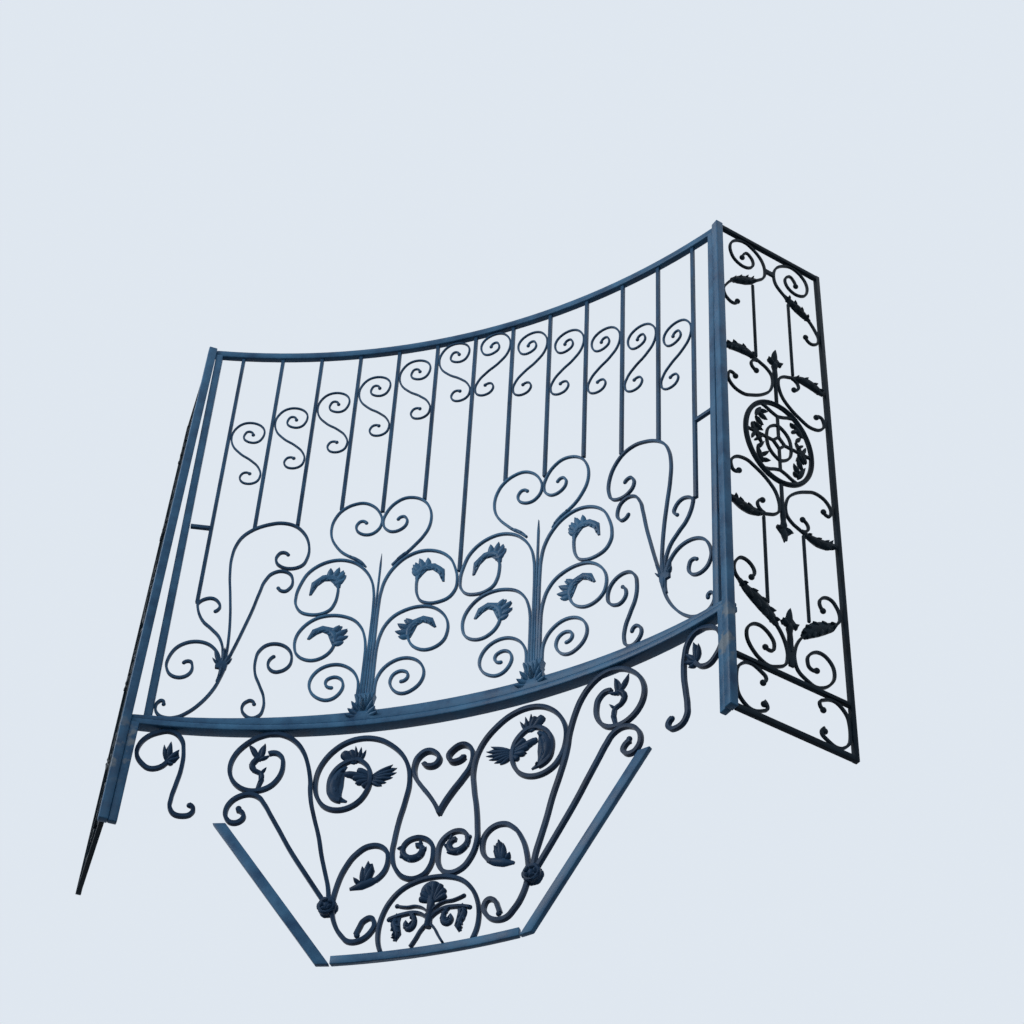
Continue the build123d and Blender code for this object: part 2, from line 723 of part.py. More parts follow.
def make_lyre():
    sheet = Sheet(upper_point, 510, 890, 600)
    faces = [bent_bar(sheet, points, thin_bar) for points in
             (TEARDROP, INNER_STRAND, SIDE_SPIRAL, END_SCROLL, END_CURL)]
    clip = outline(sheet, [(702, 588), (736, 592), (736, 612), (700, 608)])
    small = bent_bar(sheet, SMALL_S, thin_bar)
    scrolls = forge(sheet, faces + [clip], thin_depth) + forge(sheet, [small], thin_depth)
    save_pair("lyre_scrolls", scrolls)
    return scrolls


def upright_bar(station, low):
    """Square bar along a ruling of the upper panel, from a level up to the top rail."""
    start = upper_point(station, low)
    head = upper_point(station, rail_underside)
    ahead = upper_point(station + 1, rail_underside)
    slant = math.degrees(math.atan2(ahead.Y - head.Y, ahead.X - head.X))
    square = Pos(start) * Rot(0, 0, slant) * Rectangle(bar_size, bar_size)
    return Solid.extrude(square.face(), head - start)


tie_level = 1162.0
tie_bar = 12.0


def stile_tie():
    """Short level bar that holds the outermost front bar to the upper stile."""
    foot = upper_point(stile_station, base_level)
    lean = stile_head() - foot
    stile = foot + lean * ((tie_level - foot.Z) / lean.Z)
    start = upper_point(bars_each_side * bar_pitch, tie_level)
    run = Vector(stile.X - start.X, stile.Y - start.Y, 0)
    across = run / run.length
    reach = stile_reach() / abs(across.X)
    centre = (start + stile - across * (reach + fit_gap)) / 2
    slant = math.degrees(math.atan2(across.Y, across.X))
    return Pos(centre) * Rot(0, 0, slant) * Box(run.length - reach - fit_gap, tie_bar, tie_bar)


def make_front_bars(scrollwork):
    """Bars from the top rail down to the scroll that each of them meets first."""
    lowest_start = base_rail_top_end + base_rail_rise + 100
    bars = []
    for k in range(bars_each_side + 1):
        path = upright_bar(k * bar_pitch, lowest_start)
        met = [path & solid for solid in scrollwork]
        levels = [shape.bounding_box().max.Z for shape in met if shape]
        bar = upright_bar(k * bar_pitch, max(levels) + fit_gap)
        if k == bars_each_side:
            bar += stile_tie()
        bars += bar.solids()
        if k:
            bars += mirror(bar, about=Plane.YZ).solids()
    save("front_bars", bars)


foot_scroll_touch = handrail_level(838) - band_bar / 2 - fit_gap
FOOT_SCROLL = [
    (822, 242), (842, 216), (868, 209), (896, 226), (914, 255), (912, 290), (894, 320), (862, 341),
    (838, foot_scroll_touch),
    (812, 341), (793, 320), (782, 280), (779, 215), (785, 160), (790, 115), (788, 80), (775, 62),
    (750, 57), (728, 66), (722, 84), (736, 97),
]
LEAF_RING = [
    (297, -213.3), (303, -175), (316, -130), (331, -80), (350, -5), (371, 60), (385, 108),
    (393, 150), (396, 180), (403, 214), (413, 249), (428, 286), (451, 320), (484, 346),
    (522, 357), (564, 348), (603, 321), (631, 282), (640, 240), (631, 200), (606, 169), (576, 154),
    (546, 153), (515, 166), (491, 198), (484, 240), (492, 272), (512, 287), (532, 284),
]
STAY_SCROLL = [
    (597, 86), (583, 80), (574, 63), (585, 46), (606, 43), (624, 59), (629, 88), (617, 117),
    (594, 135), (566, 140.4), (540, 130), (519, 104), (493, 61), (468, 20), (430, -44), (370, -133.7),
    (311.4, -217.5),
]
BIG_SCROLL = [
    (300, 110), (328, 125), (340, 165), (335, 203), (308, 238), (268, 250), (232, 225), (217, 180),
    (223, 135), (250, 95), (297, 78), (342, 92), (370, 128), (382, 175), (381, 212), (368, 252),
    (341, 290), (300, 318), (258, 326), (205, 315), (160, 285), (125, 245), (104.8, 200), (97.6, 150),
    (105, 80), (116, 20), (123, -40), (125.5, -90), (112, -139), (86, -170), (57, -178), (30, -168),
    (12, -140), (7.2, -105), (13, -72), (33, -51), (60, -44), (86, -55), (97, -82), (85, -106),
    (60, -113), (40, -98), (42, -77), (60, -70),
]
C_SCROLL = [
    (170, -165), (150, -145), (139, -108), (146, -73), (172, -52), (203, -52), (235, -75),
    (262, -120), (279, -180), (284, -235), (274, -285), (251, -328), (222, -354), (192, -352),
    (167, -332), (157, -304), (169, -285), (188, -292), (199, -314), (206, -334),
]
FOOT_LEAF = [(826, 238), (810, 248), (801, 262), (799, 278)]
FOOT_LEAF_WIDTHS = (5, 14, 11, 3)
FOOT_LEAF_TIP = ((820, 246), (825, 302))
foot_leaf_width = 10.0
SPRIG = [(548, 160), (541, 190), (545, 214), (566, 225), (576, 245), (566, 264), (545, 277)]
SPRIG_WIDTHS = (6, 8, 8, 8, 9, 10, 5)
SPRIG_FORK = (562, 266)
SPRIG_TIPS = ((588, 314), (546, 320))
sprig_tip_width = 9.0
INNER_LEAF = [(302, 108), (316, 130), (320, 160), (316, 192), (304, 224)]
INNER_LEAF_WIDTHS = (7, 19, 24, 20, 8)
FLOWER = [
    ((216, 184), (142, 204), 11), ((216, 178), (154, 174), 11), ((216, 172), (180, 148), 9),
    ((214, 182), (290, 198), 14), ((216, 174), (262, 166), 10), ((276, 246), (304, 276), 14),
    ((262, 246), (256, 280), 10),
]
HEART = [
    (-1, 27), (12, 57), (36, 97), (63, 135), (83.7, 170), (89.6, 205), (80.3, 238), (54, 255), (28, 244),
    (14, 220), (22, 203), (46, 200), (62, 212),
]
CALYX = [(164, -160), (184, -170), (208, -176), (240, -186)]
CALYX_WIDTHS = (7, 9, 10, 3)
BUD = [(200, -172), (195, -152), (191, -132), (190, -110)]
BUD_WIDTHS = (8, 15, 17, 8)
boss_centre = (297, -238)


palm_leg_width = 7.0
palm_branch_width = 8.0
palm_tendril_width = 5.0
palm_curl_width = 9.0
palm_flower_radius = 30.0
palm_hub_radius = 11.0
sill_top = sill_height - notch_depth
PALM_LEG = [(3, -328), (20, -347), (32, -370), (46, sill_top + 2)]
PALM_STEM = [(-10, -336), (10, -336), (7, -304), (6, -226), (-6, -226), (-7, -304)]
PALM_BRANCH = [(0, -318), (16, -300), (42, -288), (76, -288), (116, -297)]
PALM_TENDRIL = [(0, -304), (14, -282), (38, -269), (68, -267), (96, -258)]
PALM_CURL = [(54, -288), (42, -306), (42, -326), (55, -337), (66, -326), (61, -313)]
PALM_LEAF = [(88, -286), (96, -308), (92, -330), (84, -348), (92, -366)]
PALM_LEAF_WIDTHS = (9, 13, 12, 8, 4)
HALF_ARCH = [
    (128, sill_top - 5), (139, -372), (144, -330), (138, -286), (118.6, -241), (86.6, -207), (45, -189),
]


def make_lower_band():
    foot_sheet = Sheet(base_point, 720, 925, 0)
    bar = bent_bar(foot_sheet, FOOT_SCROLL, band_bar)
    foot_leaf = curved_leaf(foot_sheet, FOOT_LEAF, FOOT_LEAF_WIDTHS)
    leaf_up = leaf(foot_sheet, *FOOT_LEAF_TIP, foot_leaf_width)
    save_pair("foot_scroll", forge_leafy(foot_sheet, [bar], [foot_leaf, leaf_up], band_depth))

    ring_sheet = Sheet(base_point, boss_centre[0], 640, 0)
    bar = bent_bar(ring_sheet, LEAF_RING, band_bar)
    sprig = [curved_leaf(ring_sheet, SPRIG, SPRIG_WIDTHS)]
    for tip in SPRIG_TIPS:
        sprig.append(leaf(ring_sheet, SPRIG_FORK, tip, sprig_tip_width))
    ring = forge_leafy(ring_sheet, [bar], sprig, band_depth)
    stay = bent_bar(ring_sheet, STAY_SCROLL, band_bar)
    save_pair("leaf_scrolls", ring + forge(ring_sheet, [stay], band_depth))

    big_sheet = Sheet(base_point, 5, 381, 0)
    bar = bent_bar(big_sheet, BIG_SCROLL, band_bar)
    leaves = [curved_leaf(big_sheet, INNER_LEAF, INNER_LEAF_WIDTHS)]
    for base, tip, half_width in FLOWER:
        leaves.append(leaf(big_sheet, base, tip, half_width))
    save_pair("big_scroll", forge_leafy(big_sheet, [bar], leaves, band_depth))

    c_sheet = Sheet(base_point, 139, boss_centre[0], 0)
    bar = bent_bar(c_sheet, C_SCROLL, band_bar)
    bud = [curved_leaf(c_sheet, CALYX, CALYX_WIDTHS), curved_leaf(c_sheet, BUD, BUD_WIDTHS)]
    body = Part() + forge_leafy(c_sheet, [bar], bud, band_depth)
    body += forge(c_sheet, [disc(c_sheet, boss_centre, boss_radius)], boss_depth)
    save_pair("c_scroll", body.solids())

    middle = Sheet(base_point, -100, 100, 0)
    left_half = [(-a, b) for a, b in HEART]
    heart = [bent_bar(middle, HEART, band_bar), bent_bar(middle, left_half, band_bar)]
    save("heart", forge(middle, heart, heart_depth))

    arch = HALF_ARCH + [(0, -183.5)] + [(-a, b) for a, b in HALF_ARCH[::-1]]
    palm_sheet = Sheet(base_point, -150, 150, 0)
    faces = [bent_bar(palm_sheet, arch, band_bar)]
    below = Pos(0, 0, sill_top - 500) * Box(4000, 2000, 1000)
    body = Part() + forge(palm_sheet, faces, band_depth) - below
    save("palmette_arch", body.solids())
    palm = Part() + palmette(palm_sheet) - below
    save("palmette", palm.solids())


def palmette(sheet):
    """Flower on a short stem with branches, tendrils, hanging leaves and two legs on the sill."""
    faces = [disc(sheet, (0, -304), palm_hub_radius), outline(sheet, PALM_STEM)]
    leaves = [disc(sheet, (0, -226), palm_flower_radius)]
    for way in (1, -1):
        def at(points):
            return [(way * a, b) for a, b in points]

        faces.append(bent_bar(sheet, at(PALM_LEG), palm_leg_width))
        faces.append(bent_bar(sheet, at(PALM_BRANCH), palm_branch_width))
        faces.append(bent_bar(sheet, at(PALM_TENDRIL), palm_tendril_width))
        faces.append(bent_bar(sheet, at(PALM_CURL), palm_curl_width))
        leaves.append(curved_leaf(sheet, at(PALM_LEAF), PALM_LEAF_WIDTHS))
    return forge_leafy(sheet, faces, leaves, band_depth)


def make_notch_frame():
    """Sill bar and the two slope bars that follow the V notch, each flat on its own chord."""
    blank = curved_band(base_radius, base_back, base_bow, slope_bar_depth, -notch_depth, sill_top)
    width = 2 * base_point(notch_half_bottom, 0).X
    sill_bar = blank & Box(width, 2000, 4000)
    sheet = Sheet(base_point, notch_half_bottom, notch_half_top, 0)
    run = notch_half_top - notch_half_bottom
    climb = notch_depth + slope_bar_rise
    lean = math.hypot(run, climb) / climb * slope_bar_width
    end_turn = (notch_half_bottom + notch_half_top) / 2 / base_radius
    end_lean = slope_bar_depth / 2 * math.tan(end_turn)
    start = notch_half_bottom + end_lean + 2 * fit_gap
    shape = [(start, -notch_depth), (start + lean, -notch_depth), (start + run + lean, climb - notch_depth),
             (start + run, climb - notch_depth)]
    slopes = forge(sheet, [outline(sheet, shape)], slope_bar_depth)
    slopes += [mirror(s, about=Plane.YZ) for s in slopes]
    save("notch_frame", list(sill_bar.solids()) + list(slopes))


make_rails()
make_side_frame()
make_side_ornament()
make_stiles()
make_s_scrolls()
tree_solids = make_trees()
lyre_solids = make_lyre()
make_front_bars(tree_solids + list(lyre_solids))
make_lower_band()
make_notch_frame()
print(len(saved), "nodes")
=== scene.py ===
import json
import math

import bmesh
import bpy
from mathutils import Matrix, Vector

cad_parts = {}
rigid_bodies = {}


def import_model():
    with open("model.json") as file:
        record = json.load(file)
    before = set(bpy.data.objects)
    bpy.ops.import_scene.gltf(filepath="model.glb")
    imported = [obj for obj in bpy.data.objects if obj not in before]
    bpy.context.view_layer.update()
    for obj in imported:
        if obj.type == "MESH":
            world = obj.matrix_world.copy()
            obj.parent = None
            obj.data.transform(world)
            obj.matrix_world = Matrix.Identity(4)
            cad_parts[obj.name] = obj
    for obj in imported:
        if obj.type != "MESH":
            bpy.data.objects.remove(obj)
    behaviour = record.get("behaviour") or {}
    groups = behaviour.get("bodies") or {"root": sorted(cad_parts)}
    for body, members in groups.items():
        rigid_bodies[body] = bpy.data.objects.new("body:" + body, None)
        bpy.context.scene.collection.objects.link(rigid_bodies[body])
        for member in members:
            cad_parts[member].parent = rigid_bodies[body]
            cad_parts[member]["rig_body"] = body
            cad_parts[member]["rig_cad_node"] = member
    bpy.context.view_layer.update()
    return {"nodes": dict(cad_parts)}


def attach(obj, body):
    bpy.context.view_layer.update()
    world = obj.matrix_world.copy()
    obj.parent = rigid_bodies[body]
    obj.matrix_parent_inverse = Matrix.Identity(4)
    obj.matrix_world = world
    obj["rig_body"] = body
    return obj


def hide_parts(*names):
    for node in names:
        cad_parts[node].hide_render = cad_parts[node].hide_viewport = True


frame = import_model()
nodes = frame["nodes"]

# Main sizes, in metres. The drawing starts on the middle plane at the parapet's top, and to_frame moves it to
# the frame's origin. The outlines of leaves further down are in millimetres of the same drawing.
half_front = 0.900
rail_underside = 1.962
notch_depth = 0.420
base_level = 0.396
base_back = 0.042
base_bow = 0.238
top_back = 0.028
top_bow = 0.186
side_turn = math.radians(51.5)
bar_pitch = 0.138
bars_each_side = 6
tree_centre = 0.266
crown_shift = 0.010
post_inner = 0.027
rear_inner = 0.408
pattern_width = 0.352
medallion_level = 1.087
rim_height = 0.170
rim_half_width = 0.128
to_frame = Vector((0, -(base_back + base_bow), notch_depth))
MILLIMETRE = 0.001
METRE = 1000

# How a CAD solid's mesh is cleaned, and from which angle an edge is rounded or shaded as one
merge_distance = 2e-5
flat_angle = math.radians(0.5)
sharp_angle = math.radians(40)
smooth_angle = math.radians(50)

# Which paint each kind of node wears; the other nodes are blue
BLACK_NODES = (
    "side_frame", "side_top_scrolls", "side_arms", "side_medallion", "side_base_scrolls", "side_bars",
)
NAVY_NODES = ("heart", "palmette_arch", "palmette", "foot_scroll", "leaf_scrolls", "big_scroll", "c_scroll")
SLATE_NODES = ("front_bars", "s_scrolls", "lyre_scrolls")


# Selection and mesh helpers

def pick(*objects):
    bpy.ops.object.select_all(action="DESELECT")
    for item in objects:
        item.select_set(True)
    bpy.context.view_layer.objects.active = objects[0]


def edit(piece):
    pick(piece)
    bpy.ops.object.mode_set(mode="EDIT")
    bpy.context.tool_settings.mesh_select_mode = (True, False, False)
    bpy.ops.mesh.select_all(action="SELECT")


def leave_edit():
    bpy.ops.object.mode_set(mode="OBJECT")


def select_where(piece, test):
    """In edit mode, select the corners whose place passes a test."""
    mesh = bmesh.from_edit_mesh(piece.data)
    for corner in mesh.verts:
        corner.select_set(test(corner.co))
    mesh.select_flush_mode()
    bmesh.update_edit_mesh(piece.data)


def resize(value, centre=(0, 0, 0)):
    bpy.ops.transform.resize(value=value, center_override=centre)


def bake(piece):
    pick(piece)
    bpy.ops.object.transform_apply(location=True, rotation=True, scale=True)


def copy_of(blank):
    piece = blank.copy()
    piece.data = blank.data.copy()
    bpy.context.collection.objects.link(piece)
    return piece


def joined(pieces):
    """One piece from several, with its place in its mesh."""
    bake(pieces[0])
    if len(pieces) > 1:
        pick(*pieces)
        bpy.ops.object.join()
    return pieces[0]


def mirrored(piece):
    """The same piece on the other side of the middle plane."""
    twin = copy_of(piece)
    twin.scale.x = -1
    bake(twin)
    edit(twin)
    bpy.ops.mesh.normals_make_consistent(inside=False)
    leave_edit()
    return twin


def finished(piece, name, material):
    piece.name = name
    piece.data.materials.clear()
    piece.data.materials.append(material)
    pick(piece)
    bpy.ops.object.shade_smooth_by_angle(angle=smooth_angle)
    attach(piece, "root")


# Working planes, as on the drawing

def on_arc(s, back, bow):
    """Point of a level arc over the front's chord, at a length s along it from the middle."""
    radius = (half_front ** 2 + bow ** 2) / (2 * bow)
    turn = s / radius
    return Vector((radius * math.sin(turn), back + bow - radius * (1 - math.cos(turn)), 0))


def base_point(s, z):
    return on_arc(s, base_back, base_bow) + Vector((0, 0, z))


def upper_point(s, z):
    share = (z - base_level) / (rail_underside - base_level)
    low = on_arc(s, base_back, base_bow)
    high = on_arc(s, top_back, top_bow)
    return low * (1 - share) + high * share + Vector((0, 0, z))


def side_point(u, z):
    return Vector((half_front + u * math.cos(side_turn), u * math.sin(side_turn), z))


def pattern_point(u, z):
    """Point of the side panel's scrollwork, stretched to the gap between the posts."""
    stretch = (rear_inner - post_inner) / pattern_width
    return side_point(post_inner + (u - post_inner) * stretch, z)


class Sheet:
    """A flat working plane through two stations of a panel. Its own Z faces the street."""

    def __init__(self, surface, s_from, s_to, z_from=0.0):
        self.anchor = s_from
        self.level = z_from
        start = surface(s_from, z_from)
        s_from, s_to = sorted((s_from, s_to))
        span = surface(s_to, z_from) - surface(s_from, z_from)
        middle = (s_from + s_to) / 2
        rise = 0.1
        slope = (surface(middle, z_from + rise) - surface(middle, z_from)) / rise
        along = span.normalized()
        front = along.cross(slope).normalized()
        up = front.cross(along)
        self.run = span.length / (s_to - s_from)
        self.climb = slope.length
        turn = Matrix((along, up, front)).transposed().to_4x4()
        self.matrix = Matrix.Translation(start + to_frame) @ turn

    def spot(self, point, lift=0.0):
        """Place on the sheet of a point of the drawing, which is in millimetres."""
        s, z = point[0] * MILLIMETRE, point[1] * MILLIMETRE
        return Vector(((s - self.anchor) * self.run, (z - self.level) * self.climb, lift))


# Blanks that the ornaments are copied from

BLANK_SIDES = 12
PETAL_WIDTHS = (0.17, 0.30, 0.42, 0.47, 0.40, 0.26, 0.11)
PETAL_CURL = (0.0, 0.0, 0.02, 0.06, 0.14, 0.26, 0.40)
LOBE_WIDTHS = (0.16, 0.25, 0.34, 0.43, 0.49, 0.48, 0.36)
LOBE_CURL = (0.0, 0.0, 0.0, 0.02, 0.05, 0.09, 0.14)
half_unit = 0.5
aside_of_rib = 0.6
rib_squeeze = 0.6
ring_tolerance = 0.01
tip_from = 0.999
tip_curl = 1.35
KNOB_RINGS = 8
KNOB_SHAPE = (1, 1, 0.85)
knob_cap_from = 0.75
KNOB_CAP = (0.9, 0.9, 0.92)


def petal_blank(widths, curls):
    """Petal of unit size from the origin to a tip on +Z, with a midrib.

    Each ring of corners has a half width and a distance that it curls off the axis. The tip curls further.
    """
    rings = len(widths) + 1
    bpy.ops.mesh.primitive_uv_sphere_add(
        segments=BLANK_SIDES, ring_count=rings, radius=half_unit, location=(0, 0, half_unit))
    piece = bpy.context.active_object
    bake(piece)
    edit(piece)
    select_where(piece, lambda c: abs(c.x) > aside_of_rib * math.hypot(c.x, c.y))
    resize((1, rib_squeeze, 1))
    for k, (width, curl) in enumerate(zip(widths, curls), 1):
        turn = math.pi * k / rings
        level = half_unit - half_unit * math.cos(turn)
        wider = width / (half_unit * math.sin(turn))
        select_where(piece, lambda c: abs(c.z - level) < ring_tolerance)
        resize((wider, wider, 1), (0, 0, level))
        bpy.ops.transform.translate(value=(0, curl, 0))
    select_where(piece, lambda c: c.z > tip_from)
    bpy.ops.transform.translate(value=(0, tip_curl * curls[-1], 0))
    leave_edit()
    return piece


def knob_blank():
    """Slightly flattened knob of unit radius, as on the end of a forged scroll."""
    bpy.ops.mesh.primitive_uv_sphere_add(segments=BLANK_SIDES, ring_count=KNOB_RINGS, radius=1)
    piece = bpy.context.active_object
    edit(piece)
    resize(KNOB_SHAPE)
    select_where(piece, lambda c: abs(c.z) > knob_cap_from)
    resize(KNOB_CAP)
    leave_edit()
    return piece


blank_petal = petal_blank(PETAL_WIDTHS, PETAL_CURL)
blank_lobe = petal_blank(LOBE_WIDTHS, LOBE_CURL)
blank_knob = knob_blank()


def petal(sheet, base, tip, width, thick, hint=(0, 0, 1), blank=blank_petal):
    """A petal laid on a sheet between two places, its face turned towards the hint."""
    along = tip - base
    across = Vector(hint).cross(along).normalized()
    face = along.cross(across).normalized()
    shape = Matrix((across * width, face * thick, along)).transposed().to_4x4()
    piece = copy_of(blank)
    piece.matrix_world = sheet.matrix @ Matrix.Translation(base) @ shape
    return piece


def petals(sheet, rows, thick, blank=blank_petal):
    """Petals from rows of the drawing, each a base, a tip and a width."""
    return [
        petal(sheet, sheet.spot(base), sheet.spot(tip), width * MILLIMETRE, thick, blank=blank)
        for base, tip, width in rows
    ]


def knob(sheet, point, radius, lift=0.0):
    piece = copy_of(blank_knob)
    place = Matrix.Translation(sheet.spot(point, lift))
    piece.matrix_world = sheet.matrix @ place @ Matrix.Scale(radius, 4)
    return piece


def bent_body(sheet, spots, half_widths, thick):
    """Smooth body that swells and tapers along a bent spine, flattened to its thickness."""
    wire = bpy.data.curves.new("spine", "CURVE")
    wire.dimensions = "3D"
    wire.resolution_u = 5
    wire.bevel_depth = 1
    wire.bevel_resolution = 2
    wire.use_fill_caps = True
    line = wire.splines.new("BEZIER")
    line.bezier_points.add(len(spots) - 1)
    for joint, spot, width in zip(line.bezier_points, spots, half_widths):
        joint.co = spot
        joint.radius = width
        joint.handle_left_type = "AUTO"
        joint.handle_right_type = "AUTO"
    piece = bpy.data.objects.new("spine", wire)
    bpy.context.collection.objects.link(piece)
    pick(piece)
    bpy.ops.object.convert(target="MESH")
    edit(piece)
    resize((1, 1, thick / 2 / max(half_widths)), (0, 0, spots[0].z))
    bpy.ops.mesh.normals_make_consistent(inside=False)
    leave_edit()
    piece.matrix_world = sheet.matrix
    return piece


def bent_leaf(sheet, spine, widths, thick):
    """Plain leaf from a spine and half widths of the drawing."""
    return bent_body(sheet, [sheet.spot(p) for p in spine], [w * MILLIMETRE for w in widths], thick)


def interpolate(values, share):
    place = min(max(share, 0), 1) * (len(values) - 1)
    k = min(int(place), len(values) - 2)
    return values[k] + (values[k + 1] - values[k]) * (place - k)


def along_spine(spots, share):
    """Place and heading at a share of a chain of spots."""
    place = min(max(share, 0), 0.9999) * (len(spots) - 1)
    k = int(place)
    return spots[k].lerp(spots[k + 1], place - k), (spots[k + 1] - spots[k]).normalized()


def turned(way, degrees):
    return Matrix.Rotation(math.radians(degrees), 3, "Z") @ way


# An acanthus leaf's body and lobes, as shares of its half width and thickness
body_width = 1.05
lobe_root = 0.5
lobe_reach = 1.75
lobe_thick = 0.95


def acanthus(sheet, spine, widths, lobes, thick, left=1.0, right=1.0, lean=48):
    """Leaf with a swelling body and pointed lobes that leave it on both sides."""
    spots = [sheet.spot(p) for p in spine]
    half_widths = [w * MILLIMETRE for w in widths]
    pieces = [bent_body(sheet, spots, [w * body_width for w in half_widths], thick)]
    for k in range(lobes):
        share = (k + 0.5) / (lobes + 0.2)
        spot, way = along_spine(spots, share)
        width = interpolate(half_widths, share)
        base = spot - way * width * lobe_root
        for side, size in ((1, left), (-1, right)):
            if size:
                tip = spot + turned(way, side * lean) * width * lobe_reach * size
                pieces.append(petal(sheet, base, tip, width, thick * lobe_thick))
    return pieces


# Paint: the grain of each noise, then where each kind of wear starts, where it is full and its colour. The
# dust on upward faces is partly painted top light.

CLOUDS = {"Scale": 11, "Detail": 7, "Roughness": 0.62}
SPECKS = {"Scale": 140, "Detail": 4}
BLOTS = {"Scale": 24, "Detail": 6}
deep_until, light_from = 0.34, 0.66
chips_from, chips_full = 0.68, 0.76
CHIP_COLOUR = (0.10, 0.12, 0.15, 1)
# Dust and painted top light: faces that point upwards turn a paler grey, partly dust and partly painted light
# from above
dust_and_top_light_from, dust_and_top_light_full, dust_and_top_light_most = 0.5, 1.0, 0.18
DUST_AND_TOP_LIGHT_COLOUR = (0.13, 0.15, 0.18, 1)
gloss_from, gloss_to = 0.3, 0.7
glossier, duller = 0.08, 0.14
grain_strength = 0.3
grain_depth = 0.0007
rubbed_level = 0.67
rubbed_reach = 0.13
rubbed_core = 0.4
rubbed_aside = 0.87
rubbed_edge = 0.01
blots_from, blots_full = 0.50, 0.60
rubbed_most = 0.7
RUBBED_COLOUR = (0.17, 0.19, 0.20, 1)


def feed(tree, socket, value):
    """Give a socket a number, a colour or another node's result."""
    if isinstance(value, bpy.types.NodeSocket):
        tree.links.new(value, socket)
    else:
        socket.default_value = value


def noise(tree, place, settings):
    grain = tree.nodes.new("ShaderNodeTexNoise")
    for name, value in settings.items():
        grain.inputs[name].default_value = value
    tree.links.new(place.outputs["Object"], grain.inputs["Vector"])
    return grain.outputs["Fac"]


def ramp_of(tree, source, low, high, at_low=0.0, at_high=1.0):
    """A number's ramp between two values: at_low at the low one, at_high at the high one."""
    ramp = tree.nodes.new("ShaderNodeMapRange")
    ramp.inputs["From Min"].default_value = low
    ramp.inputs["From Max"].default_value = high
    ramp.inputs["To Min"].default_value = at_low
    ramp.inputs["To Max"].default_value = at_high
    tree.links.new(source, ramp.inputs["Value"])
    return ramp.outputs["Result"]


def worked(tree, operation, first, second=0.5):
    step = tree.nodes.new("ShaderNodeMath")
    step.operation = operation
    feed(tree, step.inputs[0], first)
    feed(tree, step.inputs[1], second)
    return step.outputs["Value"]


def mixed(tree, share, under, over):
    mix = tree.nodes.new("ShaderNodeMix")
    mix.data_type = "RGBA"
    feed(tree, mix.inputs["Factor"], share)
    feed(tree, mix.inputs["A"], under)
    feed(tree, mix.inputs["B"], over)
    return mix.outputs["Result"]


def two_shades(tree, source, low, low_colour, high, high_colour):
    shades = tree.nodes.new("ShaderNodeValToRGB")
    first, second = shades.color_ramp.elements
    first.position = low
    first.color = (*low_colour, 1)
    second.position = high
    second.color = (*high_colour, 1)
    tree.links.new(source, shades.inputs["Fac"])
    return shades.outputs["Color"]


def axes_of(tree, vector):
    """The X, Y and Z of a vector."""
    split = tree.nodes.new("ShaderNodeSeparateXYZ")
    tree.links.new(vector, split.inputs["Vector"])
    return split.outputs


def rubbed_corners(tree, place, colour):
    """Grey patches on the corner posts, where the paint is rubbed off near the base rail."""
    spot = axes_of(tree, place.outputs["Object"])
    aside = worked(tree, "ABSOLUTE", spot["X"])
    off_level = worked(tree, "ABSOLUTE", worked(tree, "SUBTRACT", spot["Z"], rubbed_level))
    on_post = ramp_of(tree, aside, rubbed_aside - rubbed_edge, rubbed_aside)
    near_rail = ramp_of(tree, off_level, rubbed_reach, rubbed_core * rubbed_reach)
    area = worked(tree, "MULTIPLY", on_post, near_rail)
    blots = ramp_of(tree, noise(tree, place, BLOTS), blots_from, blots_full)
    share = worked(tree, "MULTIPLY", worked(tree, "MULTIPLY", area, blots), rubbed_most)
    return mixed(tree, share, colour, RUBBED_COLOUR)


def paint(slot, deep, light, rough, chips, shine, rubbed=False):
    """Old gloss paint for a slot of the record: clouds of two near shades, chips, dust with painted top light
    on upward faces, and dull patches.
    """
    material = bpy.data.materials.new(f"old_{slot}")
    material.use_nodes = True
    tree = material.node_tree
    shader = tree.nodes["Principled BSDF"]
    place = tree.nodes.new("ShaderNodeTexCoord")
    clouds = noise(tree, place, CLOUDS)
    specks = noise(tree, place, SPECKS)
    colour = two_shades(tree, clouds, deep_until, deep, light_from, light)
    chipped = ramp_of(tree, specks, chips_from, chips_full, at_high=chips)
    colour = mixed(tree, chipped, colour, CHIP_COLOUR)
    # Upward faces mixed towards a paler grey: dust, and painted top light as if lit from above
    facing = axes_of(tree, tree.nodes.new("ShaderNodeNewGeometry").outputs["Normal"])
    dust_and_top_light = ramp_of(tree, facing["Z"], dust_and_top_light_from, dust_and_top_light_full, at_high=dust_and_top_light_most)
    colour = mixed(tree, dust_and_top_light, colour, DUST_AND_TOP_LIGHT_COLOUR)
    if rubbed:
        colour = rubbed_corners(tree, place, colour)
    tree.links.new(colour, shader.inputs["Base Color"])
    dull = ramp_of(tree, clouds, gloss_from, gloss_to, rough - glossier, rough + duller)
    tree.links.new(dull, shader.inputs["Roughness"])
    bump = tree.nodes.new("ShaderNodeBump")
    bump.inputs["Strength"].default_value = grain_strength
    bump.inputs["Distance"].default_value = grain_depth
    tree.links.new(specks, bump.inputs["Height"])
    tree.links.new(bump.outputs["Normal"], shader.inputs["Normal"])
    shader.inputs["Specular IOR Level"].default_value = shine
    return material


blue = paint("blue_paint", deep=(0.010, 0.050, 0.115), light=(0.036, 0.125, 0.230),
             rough=0.36, chips=0.25, shine=0.18, rubbed=True)
slate = paint("slate_paint", deep=(0.009, 0.034, 0.075), light=(0.026, 0.078, 0.150),
              rough=0.38, chips=0.2, shine=0.12)
navy = paint("navy_paint", deep=(0.004, 0.015, 0.038), light=(0.014, 0.042, 0.088),
             rough=0.34, chips=0.12, shine=0.08)
black = paint("black_paint", deep=(0.003, 0.008, 0.013), light=(0.008, 0.018, 0.028),
              rough=0.36, chips=0.1, shine=0.06)


